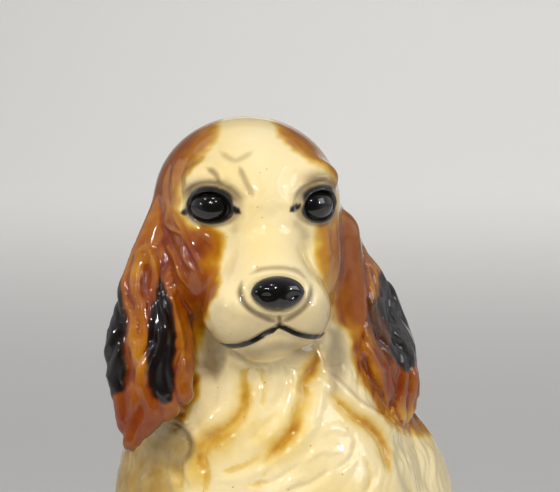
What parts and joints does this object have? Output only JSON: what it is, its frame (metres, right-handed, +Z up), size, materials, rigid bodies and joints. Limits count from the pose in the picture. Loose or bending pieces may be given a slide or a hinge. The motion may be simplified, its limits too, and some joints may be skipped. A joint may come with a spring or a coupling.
{
  "type": "dog figurine",
  "caption": "Seated spaniel figurine in glazed earthenware, head turned to its left, long ears, open hollow underside.",
  "frame": {"origin": "on the surface that the figure stands on, under the middle of its bounding box", "axes": "+Z up; the dog's chest faces -Y; +X is the dog's own left side"},
  "size_m": [0.122, 0.1702, 0.25],
  "materials": {
    "cream_glaze": "gloss",
    "tan_glaze": "gloss",
    "black_glaze": "gloss"
  },
  "bodies": {
    "root": {"head_shell": "cream_glaze", "left_ear": "tan_glaze", "right_ear": "tan_glaze", "left_eye": "black_glaze", "right_eye": "black_glaze", "nose_pad": "black_glaze", "torso_shell": "cream_glaze", "left_foreleg": "cream_glaze", "right_foreleg": "cream_glaze", "left_hind_paw": "cream_glaze", "right_hind_paw": "cream_glaze", "tail": "tan_glaze"}
  },
  "joints": []
}
